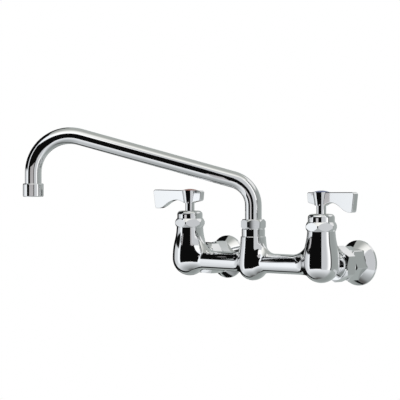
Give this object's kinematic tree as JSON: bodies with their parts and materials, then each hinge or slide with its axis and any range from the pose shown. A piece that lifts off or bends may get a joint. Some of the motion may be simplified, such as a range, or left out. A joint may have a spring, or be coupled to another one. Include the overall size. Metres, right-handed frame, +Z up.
{
  "type": "wall mounted kitchen faucet",
  "caption": "Wall-mounted faucet with hot and cold lever valves on a crossbar and a tall swing spout, on flanged inlets, in polished chrome.",
  "frame": {"origin": "on the wall, midway between the two supply inlets", "axes": "+X towards the cold inlet along the wall, +Y into the wall, so the user stands on the -Y side, +Z up"},
  "size_m": [0.3559, 0.2494, 0.1805],
  "materials": {
    "chrome_body": "polished chrome on cast brass",
    "chrome_trim": "polished chrome on turned brass nuts",
    "chrome_stem": "polished chrome on brass stem",
    "chrome_spout": "polished chrome on brass tube",
    "chrome_lever": "polished chrome on cast lever",
    "chrome_inlet": "polished chrome on brass fitting",
    "brass_internal": "machined brass",
    "stainless": "stainless steel",
    "rubber_seal": "black rubber",
    "nylon": "natural nylon",
    "ceramic": "lapped white ceramic",
    "index_hot": "red moulded cap",
    "index_cold": "blue moulded cap"
  },
  "bodies": {
    "root": {"faucet_body": "chrome_body", "spout_nut": "chrome_trim", "spout_glide_washer": "nylon", "hot_cartridge_housing": "brass_internal", "hot_fixed_disc": "ceramic", "hot_seat_washer": "rubber_seal", "hot_housing_oring": "rubber_seal", "hot_bonnet_nut": "chrome_trim", "hot_coupling_nut": "chrome_inlet", "hot_union_snap_ring": "stainless", "hot_union_washer": "rubber_seal", "hot_inlet_strainer": "stainless", "hot_inlet_flange": "chrome_inlet", "cold_cartridge_housing": "brass_internal", "cold_fixed_disc": "ceramic", "cold_seat_washer": "rubber_seal", "cold_housing_oring": "rubber_seal", "cold_bonnet_nut": "chrome_trim", "cold_coupling_nut": "chrome_inlet", "cold_union_snap_ring": "stainless", "cold_union_washer": "rubber_seal", "cold_inlet_strainer": "stainless", "cold_inlet_flange": "chrome_inlet"},
    "spout": {"spout_tube": "chrome_spout", "spout_sleeve": "brass_internal", "spout_orings": "rubber_seal", "aerator_housing": "chrome_spout", "aerator_washer": "rubber_seal", "aerator_insert": "nylon", "aerator_screen": "stainless"},
    "hot_lever": {"hot_spindle": "chrome_stem", "hot_moving_disc": "ceramic", "hot_stem_orings": "rubber_seal", "hot_retaining_clip": "stainless", "hot_lever_handle": "chrome_lever", "hot_handle_screw": "stainless", "hot_index_cap": "index_hot"},
    "cold_lever": {"cold_spindle": "chrome_stem", "cold_moving_disc": "ceramic", "cold_stem_orings": "rubber_seal", "cold_retaining_clip": "stainless", "cold_lever_handle": "chrome_lever", "cold_handle_screw": "stainless", "cold_index_cap": "index_cold"}
  },
  "joints": [
    {"name": "spout_swing", "type": "hinge", "parent": "root", "child": "spout", "pos_m": [0, -0.0675, 0.045], "axis": [0, 0, 1], "range_deg": [-47, 143]},
    {"name": "hot_lever_turn", "type": "hinge", "parent": "root", "child": "hot_lever", "pos_m": [-0.1016, -0.0675, 0.06], "axis": [0, 0, 1], "range_deg": [0, 90]},
    {"name": "cold_lever_turn", "type": "hinge", "parent": "root", "child": "cold_lever", "pos_m": [0.1016, -0.0675, 0.06], "axis": [0, 0, 1], "range_deg": [-90, 0]}
  ]
}
